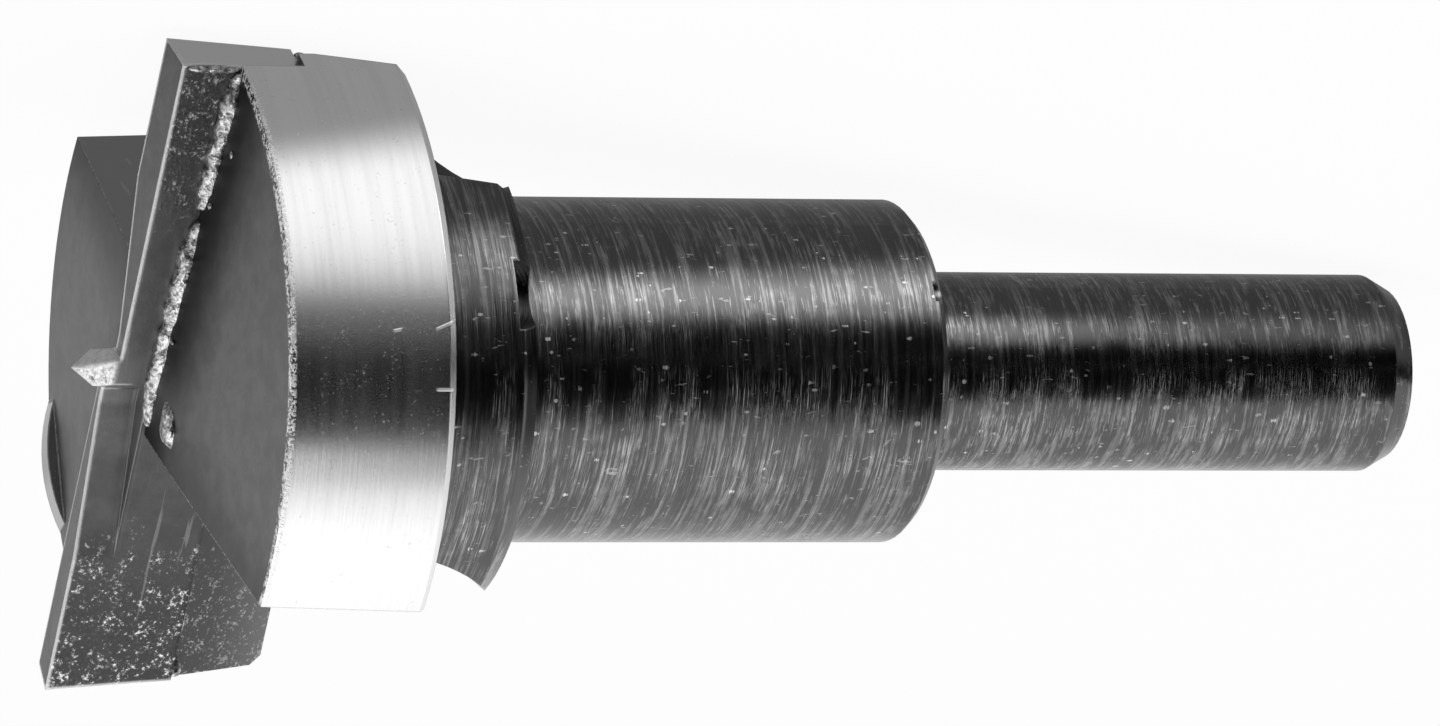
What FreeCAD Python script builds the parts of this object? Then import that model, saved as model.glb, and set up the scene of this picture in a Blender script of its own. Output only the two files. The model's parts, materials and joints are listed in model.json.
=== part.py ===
import FreeCAD, Part
import math
import os

import Sketcher

os.makedirs("parts", exist_ok=True)
doc = FreeCAD.newDocument("HingeBoringBit")

# Driving dimensions
# While it is built, the tool points along -X: the two cutting corners lie in the plane X = 0, it
# turns about the X axis, and the blade stands in the XZ plane. Millimetres and degrees.
DRIVING = [
    ("cutting_diameter", 35.0),
    ("rim_inset", 0.34),            # how far the ground rim lies inside the cutting circle
    ("rim_relief", 0.2),            # each wing's rim is ground this much off centre, towards its blade
    ("rim_setback", 3.1),           # front edge of the rim behind the cutting corners
    ("rim_width", 8.2),
    ("rim_back_chamfer", 0.5),
    ("face_rise", 1.1),             # the wing faces lie on a flat cone, this much higher at the middle
    ("collar_diameter", 23.6),
    ("collar_length", 6.1),
    ("collar_chamfer_depth", 0.5),
    ("collar_chamfer_length", 0.8),
    ("neck_diameter", 16.4),
    ("neck_length", 22.1),
    ("neck_back_chamfer", 0.35),
    ("shank_diameter", 9.5),
    ("shank_length", 25.7),
    ("shank_chamfer_depth", 0.6),
    ("shank_chamfer_length", 1.1),
    ("swing_clearance", 1.2),       # cutting tools sweep this many times the blank's radius
    ("blade_thickness", 2.1),
    ("blade_depth", 6.2),           # from the cutting corners to the foot of the plate
    ("flank_relief", 7.0),          # angle of the ground flank behind each cutting edge
    ("side_clearance", 4.8),        # angle by which the plate's ends draw in towards its foot
    ("heel_clearance", 4.0),        # angle by which they draw in behind the rake face
    ("point_height", 1.7),
    ("point_width", 2.1),
    ("web_thickness", 0.7),         # what the gashes leave of the plate on both sides of the point
    ("gash_start", 10.0),           # distance from the axis where a gash leaves the rake face
    ("gash_full", 2.2),             # where it has reached the web
    ("gash_skirt", 0.3),            # where it passes the point, on the rake face
    ("notch_floor", 3.05),          # distance of the notch floor from the axis at the middle of the face
    ("notch_floor_slope", 3.0),     # the floor climbs by this angle towards the shank
    ("notch_rake", 12.0),           # the steel falls back from the rake face by this angle
    ("notch_opening", 2.5),         # the notch is this much wider than square
    ("notch_run", 6.0),             # straight stretch of the floor behind the middle of the face
    ("notch_cutter_radius", 10.5),  # the round run-out that the milling cutter leaves
    ("spur_chord", 6.7),            # low lip that stands ahead of the +Y wing's rim
    ("spur_rise", 0.65),
    ("spur_thickness", 0.9),
    ("spur_inset", 0.21),           # its outer face lies this much inside the rim
    ("spur_root", 0.3),             # how deep it sits in the wing
    ("spur_angle", 139.0),          # its place round the axis, from +Z towards +Y
    ("dent_chord", 3.6),            # bruise in the collar's back edge
    ("dent_depth", 1.15),
    ("dent_length", 1.0),
    ("dent_angle", 40.0),           # its place round the axis, from the blade towards -Y
    ("nick_chord", 1.1),            # nick in the neck's back edge
    ("nick_depth", 0.3),
    ("nick_length", 0.5),
    ("nick_angle", 30.0),
]

# Places worked out from them
DERIVED = [
    ("blade_half", "blade_thickness / 2"),
    ("point_half", "point_width / 2"),
    ("rim_radius", "cutting_diameter / 2 - rim_inset"),
    ("rim_blank_radius", "rim_radius + rim_relief"),
    ("chamfer_radius", "rim_blank_radius - rim_back_chamfer"),
    ("collar_radius", "collar_diameter / 2"),
    ("collar_back_radius", "collar_radius - collar_chamfer_depth"),
    ("neck_radius", "neck_diameter / 2"),
    ("neck_chamfer_radius", "neck_radius - neck_back_chamfer"),
    ("shank_radius", "shank_diameter / 2"),
    ("shank_end_radius", "shank_radius - shank_chamfer_depth"),
    ("face_apex", "rim_setback - face_rise"),
    ("rim_back", "rim_setback + rim_width"),
    ("rim_chamfer_start", "rim_back - rim_back_chamfer"),
    ("collar_back", "rim_back + collar_length"),
    ("collar_chamfer_start", "collar_back - collar_chamfer_length"),
    ("neck_back", "collar_back + neck_length"),
    ("neck_chamfer_start", "neck_back - neck_back_chamfer"),
    ("shank_back", "neck_back + shank_length"),
    ("shank_chamfer_start", "shank_back - shank_chamfer_length"),
    ("clear_radius", "rim_blank_radius * swing_clearance"),
    ("notch_lead", "cutting_diameter / 2"),
    ("notch_front_floor", "notch_floor - notch_lead * tan(notch_floor_slope)"),
    ("notch_run_floor", "notch_floor + notch_run * tan(notch_floor_slope)"),
    ("run_out_x", "notch_run - notch_cutter_radius * sin(notch_floor_slope)"),
    ("run_out_z", "notch_run_floor + notch_cutter_radius * cos(notch_floor_slope)"),
    ("run_out_end", "run_out_x + notch_cutter_radius"),
    ("corner_reach", "sqrt(pow(cutting_diameter / 2; 2) - pow(blade_half; 2))"),
    ("foot_reach", "corner_reach - blade_depth * tan(side_clearance)"),
    ("heel_reach", "corner_reach - blade_thickness * tan(heel_clearance)"),
    ("flank_drop", "blade_thickness * tan(flank_relief)"),
    ("web_face", "web_thickness - blade_half"),
    ("gash_corner", "point_half + gash_skirt"),
    ("gash_length", "point_height + face_apex"),
    ("spur_radius", "(pow(spur_chord / 2; 2) + pow(spur_rise; 2)) / (2 * spur_rise)"),
    ("spur_centre", "rim_setback - spur_rise + spur_radius"),
    ("spur_base", "rim_setback + spur_root"),
    ("spur_y", "(rim_radius - spur_inset) * sin(spur_angle)"),
    ("spur_z", "(rim_radius - spur_inset) * cos(spur_angle)"),
    ("dent_radius", "(pow(dent_chord / 2; 2) + pow(dent_depth; 2)) / (2 * dent_depth)"),
    ("dent_centre", "collar_radius - dent_depth + dent_radius"),
    ("dent_y", "-dent_centre * sin(dent_angle)"),
    ("dent_z", "dent_centre * cos(dent_angle)"),
    ("dent_start", "collar_back - dent_length"),
    ("nick_radius", "(pow(nick_chord / 2; 2) + pow(nick_depth; 2)) / (2 * nick_depth)"),
    ("nick_centre", "neck_radius - nick_depth + nick_radius"),
    ("nick_y", "-nick_centre * sin(nick_angle)"),
    ("nick_z", "nick_centre * cos(nick_angle)"),
    ("nick_start", "neck_back - nick_length"),
]

sheet = doc.addObject("Spreadsheet::Sheet", "Sizes")
for row, (alias, value) in enumerate(DRIVING + DERIVED, start=1):
    sheet.set("A%d" % row, alias)
    sheet.setAlias("B%d" % row, alias)
    sheet.set("B%d" % row, str(value) if isinstance(value, float) else "=" + value)
doc.recompute()


def size(name):
    """The value of a cell of the sheet; a name with a leading minus gives the negative."""
    if name.startswith("-"):
        return -size(name[1:])
    return 0.0 if name == "0" else float(getattr(sheet, name))


def formula(name):
    """The expression that binds a constraint or a property to that cell."""
    if name.startswith("-"):
        return "-Sizes." + name[1:]
    return "Sizes." + name


# Sketch helpers
def origin_feature(body, role):
    for feature in body.Origin.OriginFeatures:
        if feature.Role == role:
            return feature
    raise ValueError("no origin feature " + role)


def new_sketch(body, name, role):
    """A sketch on one of the body's own origin planes."""
    sketch = body.newObject("Sketcher::SketchObject", name)
    sketch.AttachmentSupport = (origin_feature(body, role), [""])
    sketch.MapMode = "FlatFace"
    return sketch


def pin(sketch, geometry, point, axis, name):
    """Dimension one coordinate of a point from the sketch's origin and bind it to the sheet."""
    kind = "DistanceX" if axis == "x" else "DistanceY"
    if name == "0":
        on_axis = -2 if axis == "x" else -1
        sketch.addConstraint(Sketcher.Constraint("PointOnObject", geometry, point, on_axis))
        return
    index = sketch.addConstraint(Sketcher.Constraint(kind, -1, 1, geometry, point, size(name)))
    sketch.setExpression("Constraints[%d]" % index, formula(name))


def add_outline(sketch, corners):
    """A closed outline of straight lines through corners that are named in the sheet."""
    first = sketch.GeometryCount
    count = len(corners)
    places = [FreeCAD.Vector(size(x), size(y), 0) for x, y in corners]
    for index in range(count):
        sketch.addGeometry(Part.LineSegment(places[index], places[(index + 1) % count]), False)
    for index, (x, y) in enumerate(corners):
        before = first + (index - 1) % count
        sketch.addConstraint(Sketcher.Constraint("Coincident", before, 2, first + index, 1))
        pin(sketch, first + index, 1, "x", x)
        pin(sketch, first + index, 1, "y", y)


def add_arc(sketch, centre, radius, start_angle, end_angle):
    """An arc, counterclockwise, about a centre that is named in the sheet."""
    circle = Part.Circle(FreeCAD.Vector(size(centre[0]), size(centre[1]), 0), FreeCAD.Vector(0, 0, 1),
                         size(radius))
    arc = Part.ArcOfCircle(circle, math.radians(start_angle), math.radians(end_angle))
    index = sketch.addGeometry(arc, False)
    pin(sketch, index, 3, "x", centre[0])
    pin(sketch, index, 3, "y", centre[1])
    return index


def bind_radius(sketch, curve, name):
    index = sketch.addConstraint(Sketcher.Constraint("Radius", curve, size(name)))
    sketch.setExpression("Constraints[%d]" % index, formula(name))


# Feature helpers
def pocket(body, name, sketch, both_ways=False, forward=False, along=None, length=None):
    """A pocket that must take something away: right through, or as deep as a cell of the sheet says."""
    before = body.Shape.Volume
    cut = body.newObject("PartDesign::Pocket", name)
    cut.Profile = sketch
    cut.Type = 1
    cut.Reversed = forward
    if both_ways:
        cut.Midplane = True
    if along is not None:
        cut.UseCustomVector = True
        cut.Direction = along
    if length is not None:
        cut.Type = 0
        cut.setExpression("Length", formula(length))
    doc.recompute()
    if body.Shape.Volume >= before:
        raise RuntimeError(name + " cuts nothing")
    return cut


def repeat_half_turn(body, name, features):
    """The same features again, half a turn round the axis."""
    before = body.Shape.Volume
    pattern = body.newObject("PartDesign::PolarPattern", name)
    pattern.Originals = features
    pattern.Axis = (origin_feature(body, "X_Axis"), [""])
    pattern.Angle = 360
    pattern.Occurrences = 2
    body.Tip = pattern
    doc.recompute()
    if body.Shape.Volume >= before:
        raise RuntimeError(name + " cuts nothing")


# Steel body: shank, neck, collar and head, turned in one piece
def turn_blank(body):
    profile = new_sketch(body, "BlankProfile", "XZ_Plane")
    add_outline(profile, [
        ("face_apex", "0"),
        ("rim_setback", "rim_blank_radius"),
        ("rim_chamfer_start", "rim_blank_radius"),
        ("rim_back", "chamfer_radius"),
        ("rim_back", "collar_radius"),
        ("collar_chamfer_start", "collar_radius"),
        ("collar_back", "collar_back_radius"),
        ("collar_back", "neck_radius"),
        ("neck_chamfer_start", "neck_radius"),
        ("neck_back", "neck_chamfer_radius"),
        ("neck_back", "shank_radius"),
        ("shank_chamfer_start", "shank_radius"),
        ("shank_back", "shank_end_radius"),
        ("shank_back", "0"),
    ])
    turned = body.newObject("PartDesign::Revolution", "Blank")
    turned.Profile = profile
    turned.ReferenceAxis = (origin_feature(body, "X_Axis"), [""])
    turned.Angle = 360
    doc.recompute()


def grind_rim(body):
    """The rim of the -Y wing is ground off centre, so that it falls away behind the blade."""
    sketch = new_sketch(body, "RimReliefProfile", "YZ_Plane")
    rim = add_arc(sketch, ("0", "rim_relief"), "rim_radius", 90, 270)
    outer = add_arc(sketch, ("0", "0"), "clear_radius", 90, 270)
    bind_radius(sketch, rim, "rim_radius")
    bind_radius(sketch, outer, "clear_radius")
    for end in (1, 2):
        inner_end = sketch.getPoint(rim, end)
        outer_end = sketch.getPoint(outer, end)
        side = sketch.addGeometry(Part.LineSegment(inner_end, outer_end), False)
        sketch.addConstraint(Sketcher.Constraint("Coincident", rim, end, side, 1))
        sketch.addConstraint(Sketcher.Constraint("Coincident", outer, end, side, 2))
        pin(sketch, rim, end, "x", "0")
        pin(sketch, outer, end, "x", "0")
    return pocket(body, "RimRelief", sketch, forward=True)


def mill_notch(body):
    """The square chip notch before the +Z blade.

    One wall follows the blade and falls back from it by the rake angle. The floor, square to that
    wall, climbs slowly and runs out through the collar in an arc of the cutter's radius.
    """
    sketch = new_sketch(body, "NotchProfile", "XZ_Plane")
    sketch.AttachmentOffset = FreeCAD.Placement(
        FreeCAD.Vector(size("face_apex"), 0, -size("blade_half")),
        FreeCAD.Rotation(FreeCAD.Vector(0, 1, 0), -size("notch_rake")))
    sketch.setExpression(".AttachmentOffset.Base.x", "Sizes.face_apex")
    sketch.setExpression(".AttachmentOffset.Base.z", "-Sizes.blade_half")
    corners = [("run_out_end", "clear_radius"), ("-notch_lead", "clear_radius"),
               ("-notch_lead", "notch_front_floor"), ("notch_run", "notch_run_floor")]
    places = [FreeCAD.Vector(size(x), size(y), 0) for x, y in corners]
    for start, end in zip(places, places[1:]):
        sketch.addGeometry(Part.LineSegment(start, end), False)
    for line, (x, y) in enumerate(corners[:-1]):
        pin(sketch, line, 1, "x", x)
        pin(sketch, line, 1, "y", y)
    floor = len(corners) - 2
    pin(sketch, floor, 2, "x", "notch_run")
    pin(sketch, floor, 2, "y", "notch_run_floor")
    run_out = add_arc(sketch, ("run_out_x", "run_out_z"), "notch_cutter_radius",
                      size("notch_floor_slope") - 90, 0)
    run_out_top = sketch.getPoint(run_out, 2)
    last = sketch.addGeometry(Part.LineSegment(run_out_top, places[0]), False)
    pin(sketch, run_out, 2, "y", "run_out_z")
    for before, after in ((0, 1), (1, 2), (floor, run_out), (run_out, last)):
        sketch.addConstraint(Sketcher.Constraint("Coincident", before, 2, after, 1))
    sketch.addConstraint(Sketcher.Constraint("Coincident", last, 2, 0, 1))
    return pocket(body, "Notch", sketch, along=notch_direction())


def notch_direction():
    """Square to the wall that follows the blade, then leaning in towards the axis."""
    rake = math.radians(size("notch_rake"))
    lean = math.radians(size("notch_opening"))
    return FreeCAD.Vector(math.sin(rake) * math.cos(lean), math.cos(rake) * math.cos(lean), -math.sin(lean))


def mill_slot(body):
    """The slot across the head that the plate is brazed into."""
    sketch = new_sketch(body, "SlotProfile", "XY_Plane")
    add_outline(sketch, [("0", "-blade_half"), ("blade_depth", "-blade_half"),
                         ("blade_depth", "blade_half"), ("0", "blade_half")])
    return pocket(body, "Slot", sketch, both_ways=True)


def bruise_edge(body, name, start, length, centre, radius):
    """A round-bottomed bruise in a back edge, cut from its start towards the shank."""
    sketch = new_sketch(body, name + "Profile", "YZ_Plane")
    sketch.setExpression(".AttachmentOffset.Base.z", formula(start))
    middle = FreeCAD.Vector(size(centre[0]), size(centre[1]), 0)
    curve = sketch.addGeometry(Part.Circle(middle, FreeCAD.Vector(0, 0, 1), size(radius)), False)
    pin(sketch, curve, 3, "x", centre[0])
    pin(sketch, curve, 3, "y", centre[1])
    bind_radius(sketch, curve, radius)
    pocket(body, name, sketch, forward=True, length=length)


def raise_spur(body):
    """The low lip ahead of the +Y wing's rim: a round segment that stands square to the radius."""
    before = body.Shape.Volume
    sketch = new_sketch(body, "SpurProfile", "XZ_Plane")
    turn = FreeCAD.Rotation(FreeCAD.Vector(1, 0, 0), 270 - size("spur_angle"))
    sketch.AttachmentOffset = FreeCAD.Placement(FreeCAD.Vector(0, size("spur_z"), -size("spur_y")), turn)
    sketch.setExpression(".AttachmentOffset.Base.y", "Sizes.spur_z")
    sketch.setExpression(".AttachmentOffset.Base.z", "-Sizes.spur_y")
    spread = math.degrees(math.acos((size("spur_centre") - size("spur_base")) / size("spur_radius")))
    curve = add_arc(sketch, ("spur_centre", "0"), "spur_radius", 180 - spread, 180 + spread)
    bind_radius(sketch, curve, "spur_radius")
    chord = sketch.addGeometry(Part.LineSegment(sketch.getPoint(curve, 2), sketch.getPoint(curve, 1)), False)
    for curve_end, chord_end in ((2, 1), (1, 2)):
        sketch.addConstraint(Sketcher.Constraint("Coincident", curve, curve_end, chord, chord_end))
        pin(sketch, curve, curve_end, "x", "spur_base")
    spur = body.newObject("PartDesign::Pad", "Spur")
    spur.Profile = sketch
    spur.Reversed = True
    spur.setExpression("Length", "Sizes.spur_thickness")
    doc.recompute()
    if body.Shape.Volume <= before:
        raise RuntimeError("Spur adds nothing")


def make_steel_body():
    body = doc.addObject("PartDesign::Body", "SteelBody")
    body.Label = "steel_body"
    turn_blank(body)
    rim_relief = grind_rim(body)
    notch = mill_notch(body)
    repeat_half_turn(body, "SecondWing", [rim_relief, notch])
    body.Tip = mill_slot(body)
    raise_spur(body)
    bruise_edge(body, "CollarDent", "dent_start", "dent_length", ("dent_y", "dent_z"), "dent_radius")
    bruise_edge(body, "NeckNick", "nick_start", "nick_length", ("nick_y", "nick_z"), "nick_radius")
    return body


# Cutter plate: one carbide bar with both blades and the centre point
def press_bar(body):
    outline = new_sketch(body, "PlateOutline", "XZ_Plane")
    add_outline(outline, [
        ("-point_height", "0"),
        ("0", "point_half"),
        ("0", "corner_reach"),
        ("blade_depth", "foot_reach"),
        ("blade_depth", "-foot_reach"),
        ("0", "-corner_reach"),
        ("0", "-point_half"),
    ])
    bar = body.newObject("PartDesign::Pad", "Bar")
    bar.Profile = outline
    bar.Midplane = True
    bar.setExpression("Length", "Sizes.blade_thickness")
    doc.recompute()


def grind_flank(body):
    """The flank of the +Z blade falls back from its +Y edge, outside the centre point."""
    sketch = new_sketch(body, "FlankProfile", "XY_Plane")
    sketch.setExpression(".AttachmentOffset.Base.z", "Sizes.point_half")
    add_outline(sketch, [("0", "blade_half"), ("-point_height", "blade_half"),
                         ("-point_height", "-blade_half"), ("flank_drop", "-blade_half")])
    return pocket(body, "Flank", sketch, forward=True)


def grind_end(body):
    """The end of the +Z blade falls back from the rake face to the heel."""
    sketch = new_sketch(body, "EndProfile", "YZ_Plane")
    add_outline(sketch, [("blade_half", "corner_reach"), ("blade_half", "clear_radius"),
                         ("-blade_half", "clear_radius"), ("-blade_half", "heel_reach")])
    return pocket(body, "EndClearance", sketch, forward=True)


def grind_gash(body):
    """Beside the centre point the +Z blade is thinned from its rake face, down to the wing faces."""
    sketch = new_sketch(body, "GashProfile", "YZ_Plane")
    sketch.setExpression(".AttachmentOffset.Base.z", "-Sizes.point_height")
    add_outline(sketch, [("blade_half", "gash_start"), ("web_face", "gash_full"),
                         ("web_face", "gash_corner"), ("blade_half", "gash_skirt")])
    return pocket(body, "Gash", sketch, forward=True, length="gash_length")


def grind_point(body):
    """Both sides of the centre point lean in to its tip."""
    sketch = new_sketch(body, "PointSides", "XY_Plane")
    add_outline(sketch, [("-point_height", "0"), ("0", "blade_half"), ("-point_height", "blade_half")])
    add_outline(sketch, [("-point_height", "0"), ("-point_height", "-blade_half"), ("0", "-blade_half")])
    return pocket(body, "PointGrind", sketch, both_ways=True)


def make_cutter_plate():
    body = doc.addObject("PartDesign::Body", "CutterPlate")
    body.Label = "cutter_plate"
    press_bar(body)
    grind_point(body)
    features = [grind_flank(body), grind_end(body), grind_gash(body)]
    repeat_half_turn(body, "SecondBlade", features)
    return body


# Resting place
HEEL_ROUNDS = 6
REST_ROUNDS = 8


def heel_corner(back):
    """Where the notch floor meets the rim of the wing across the notch, found in a few rounds."""
    rake = math.radians(size("notch_rake"))
    climb = math.tan(math.radians(size("notch_floor_slope")))
    lean = math.tan(math.radians(size("notch_opening")))
    behind = back - size("face_apex")
    rim = size("rim_radius")
    relief = size("rim_relief")
    y = rim
    for step in range(HEEL_ROUNDS):
        out = y - size("blade_half")
        along_wall = behind * math.cos(rake) - out * math.sin(rake)
        from_wall = behind * math.sin(rake) + out * math.cos(rake)
        z = size("notch_floor") + along_wall * climb - from_wall * lean
        y = math.sqrt(rim ** 2 - (z + relief) ** 2)
    return FreeCAD.Vector(back, y, z)


def rest_placement(pieces):
    """Where the tool comes to rest on a flat surface.

    It lies across one notch on three points: a blade's outer corner at the foot of the plate or the
    steel corner behind it, the back corner of the other wing's heel, and the edge of the shank's end.
    """
    back = size("rim_chamfer_start")
    wall_y = size("blade_half") - (back - size("face_apex")) * math.tan(math.radians(size("notch_rake")))
    wall_z = size("rim_relief") + math.sqrt(size("rim_radius") ** 2 - wall_y ** 2)
    corners = [FreeCAD.Vector(size("blade_depth"), size("blade_half"), size("foot_reach")),
               FreeCAD.Vector(back, wall_y, wall_z)]
    heel = heel_corner(back)
    down = FreeCAD.Vector(0, wall_z - heel.z, heel.y - wall_y).normalize()
    for step in range(REST_ROUNDS):
        round_tail = FreeCAD.Vector(0, down.y, down.z).normalize() * size("shank_radius")
        tail = FreeCAD.Vector(size("shank_chamfer_start"), 0, 0) + round_tail
        corner = max(corners, key=down.dot)
        down = (tail - corner).cross(heel - corner).normalize()
    along = (FreeCAD.Vector(1, 0, 0) - down * down.x).normalize()
    across = (-down).cross(along)
    turn = FreeCAD.Matrix(along.x, along.y, along.z, 0,
                          across.x, across.y, across.z, 0,
                          -down.x, -down.y, -down.z, 0,
                          0, 0, 0, 1)
    box = FreeCAD.BoundBox()
    for piece in pieces:
        turned = piece.Shape.transformGeometry(turn)
        box.add(turned.optimalBoundingBox(False, False))
    middle = FreeCAD.Vector(-box.Center.x, -box.Center.y, -box.ZMin)
    return FreeCAD.Placement(middle, FreeCAD.Placement(turn).Rotation)


pieces = [make_steel_body(), make_cutter_plate()]
rest = rest_placement(pieces)
for piece in pieces:
    piece.Placement = rest
doc.recompute()

# Check everything before writing anything
for item in doc.Objects:
    if "Invalid" in item.State or "Error" in item.State:
        raise RuntimeError(item.Name + " failed")
for piece in pieces:
    if piece.Shape.isNull() or not piece.Shape.isValid() or len(piece.Shape.Solids) != 1:
        raise RuntimeError(piece.Label + " is not one sound solid")
for piece in pieces:
    piece.Shape.exportStep("parts/%s.step" % piece.Label)
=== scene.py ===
import json
import math

import bmesh
import bpy
from bpy.props import FloatProperty, FloatVectorProperty, IntProperty, PointerProperty
from bpy.types import Operator, Panel, PropertyGroup
from mathutils import Matrix, Vector, noise


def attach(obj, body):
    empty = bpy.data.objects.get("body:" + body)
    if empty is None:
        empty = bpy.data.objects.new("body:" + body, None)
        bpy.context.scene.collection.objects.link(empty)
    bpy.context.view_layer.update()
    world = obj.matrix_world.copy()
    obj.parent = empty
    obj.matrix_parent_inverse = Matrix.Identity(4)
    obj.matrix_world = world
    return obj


bl_info = {
    "name": "Hinge Boring Bit Finish",
    "version": (1, 0, 0),
    "blender": (4, 5, 0),
    "location": "3D View > Sidebar > Boring Bit",
    "description": "Surfaces, braze seams and studio for a two-winged hinge boring bit",
    "category": "Object",
}

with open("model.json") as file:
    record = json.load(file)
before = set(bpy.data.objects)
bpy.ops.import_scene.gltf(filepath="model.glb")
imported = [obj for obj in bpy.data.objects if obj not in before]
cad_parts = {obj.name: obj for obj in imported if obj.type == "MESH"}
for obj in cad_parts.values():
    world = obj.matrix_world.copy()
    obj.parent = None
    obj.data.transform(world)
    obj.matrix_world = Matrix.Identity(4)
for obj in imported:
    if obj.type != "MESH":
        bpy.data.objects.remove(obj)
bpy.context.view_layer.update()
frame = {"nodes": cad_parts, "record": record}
MM = 0.001
UP = Vector((0, 0, 1))

# The bit's own frame
# X runs along the axis from the cutting corners to the shank, Y is the way the +Z blade cuts, and
# Z points along that blade. Lengths in this frame are in millimetres. The axis comes from the shank
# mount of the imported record, and the rest from the cutting plate's two outer corners.
SHANK = next(mount for mount in frame["record"]["mounts"] if mount["name"] == "shank")
AXIS = Vector(SHANK["axis"]).normalized()
BLADE_HALF = 1.05                      # half the cutting plate's thickness
CORNER_RADIUS = 17.5


def cutting_corners():
    """The plate's two corners that lie furthest apart across the axis, the lower one first."""
    corners = {vert.co.copy().freeze() for vert in frame["nodes"]["cutter_plate"].data.vertices}
    pairs = [(one, other) for one in corners for other in corners if one.z < other.z]
    return max(pairs, key=lambda pair: (pair[0] - pair[1]).cross(AXIS).length)


LOWER_CORNER, UPPER_CORNER = cutting_corners()
ORIGIN = (LOWER_CORNER + UPPER_CORNER) / 2
CORNER_LEAD = math.asin(BLADE_HALF / CORNER_RADIUS)
BLADE = (Matrix.Rotation(CORNER_LEAD, 3, AXIS) @ (LOWER_CORNER - UPPER_CORNER)).normalized()
LEADING = BLADE.cross(AXIS).normalized()
TOOL_AXES = Matrix((AXIS, LEADING, BLADE))
TO_SCENE = Matrix.Translation(ORIGIN) @ TOOL_AXES.transposed().to_4x4() @ Matrix.Scale(MM, 4)

# Stations along the axis and radii of the solids
RIM_FRONT = 3.1
RIM_BACK = 11.3
COLLAR_BACK = 17.4
WING_RADIUS = 17.16
COLLAR_RADIUS = 11.8
FACE_CENTRE = 2.0                      # where the wings' front faces reach the axis
FACE_FALL = 1.1 / WING_RADIUS          # how the front faces lean back towards the rim
NOTCH_EDGE = (0.082, 1.27)             # slope and height of the line where a face meets a notch

# Scratches on the near rim: where each starts and ends along the axis, how far it turns for each
# millimetre of that, and the turn about the axis where it lies
RIM_SCRATCHES = ((10.1, 11.2, 0.0, 1.0585), (10.1, 11.2, 0.024, 1.142), (8.0, 8.6, 0.01, 0.983))

# Where the braze lies, in the bit's own frame. A reach is measured out along the blade.
SEAM_GAP = 0.15                        # from the blade's back to the middle of the seam behind it
SEAM_REACH = (-2.4, 16.95)             # where that seam starts and ends
SEAM_BREAK_HALF = 0.3                  # half the length of the break in it
SEAM_FULLNESS = (1.2, 1.1)             # its radius before and after the break, in bead radii
NOTCH_SEAM = (6.15, 0.6)               # station and Y of the seam on a notch's floor
NOTCH_REACH = (3.6, 16.9)
NOTCH_FULLNESS = 0.45
END_STATIONS = (0.5, 3.0)              # where the run across a blade's outer end starts and ends
END_REACH = 17.12
END_GAP = 0.05
END_FULLNESS = 0.36
HEEL_STATION = 6.5
HEEL_REACH = 16.68
HEEL_HALF = 1.0                        # half the length of the fill behind the heel
HEEL_FULLNESS = 0.75
POOL_MIDDLE = (-3.72, -1.04)           # the pool's Y and Z
POOL_RADIUS = 4.0                      # the radius at which the face carries it
POOL_PROUD = 0.02
POOL_SHAPE = (0.35, 0.85, 0.95)        # half its depth and widths, as shares of the pool's size
POOL_LEAN = -0.57

# Splatters: the least of each measure, and how much more of it there may be
SPLATTER_REACH = (1.5, 14.0)
SPLATTER_GAP = (0.5, 1.3)
SPLATTER_SIZE = (0.1, 0.09)
SPLATTER_SHAPE = (0.6, 1.0, 1.3)
GOLDEN = (math.sqrt(5) - 1) / 2        # its multiples scatter evenly, the same way each time

# How a bead is formed, as shares of its radius
BEAD_TIP = 0.35                        # the ring that it is drawn out from
BEAD_THINNEST = 0.3
BEAD_SWELL = 0.22                      # how much its thickness comes and goes
BEAD_SWELLS = 11.0                     # and how often along it
BEAD_ROUGHNESS = 0.4
BEAD_GRAIN = 1.9                       # lumps per millimetre
BEAD_TAPER = 4.5                       # how quickly it grows from either end
BEAD_BLUNT = 0.03                      # the share of its length that is cut off each end's point
DROP_ROUGHNESS = 0.3
DROP_GRAIN = 1.7                       # lumps per radius
DROP_PULL = 0.45                       # how far a drop is drawn to one side

# The photograph's camera, from the outlines of the rim, collar, neck and shank. It looks at the
# bit from a roll about the axis and a swing along it, and its aim is measured in the bit's frame.
CAMERA_ROLL_ABOUT_AXIS = math.radians(57.5)
CAMERA_SWING = math.radians(21.41)
CAMERA_LEAN = math.radians(-0.25)
CAMERA_DISTANCE = 728.6
CAMERA_AIM_STATION = 36.0
CAMERA_AIM_ALONG = 4.69
CAMERA_AIM_UP = -0.34
SENSOR_WIDTH = 36.0
PIXELS_PER_MM = 20.94                  # at the camera's distance
IMAGE_WIDTH = 1440

# What the metal mirrors, in millimetres. A card's spot is mirrored at one station of the scene's X,
# and that station and the distance out from the axis settle how bright the spot is.
MIRROR_DRIFT = 0.39                    # how far the mirrored rays drift along X on their way out
RIM_MIRRORED = -32.0                   # the station that mirrors in the rim's middle
RIM_STATIONS = (-18.0, -26.0)          # between these the runner passes over to the rim's part
NECK_START = (-24.0, -16.0)            # and between these to the neck's, from the rim's side
NECK_END = (20.0, 2.0)                 # and from the shank's
RUNNER_DIM = (15.8, 20.4)              # distances out from the axis where the runner turns white
DIM_LEAN = 0.31                        # how much nearer these lie for each millimetre of station
DIM_BEND = 0.002                       # and how fast that lean is lost towards the shank
RUNNER_DARK = 22.0                     # where it starts to fade to black
DARK_LEAN = 0.285
DARK_WIDTH = (12.0, 36.0)              # the fade's width, and what the rim adds to it
DUSK_DISTANCES = (115.0, 70.0)         # for the rim it is only dusk up to here
FLAG_STATIONS = (-8.0, 6.0)            # where the flag's dark edge starts and ends its rise
FLAG_TOP = 95.0                        # that edge's height for the rim
FLAG_RISE = 60.0                       # and how much higher it ends for the shank
FLAG_FADE = 2.0                        # half the width of that edge
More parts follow.
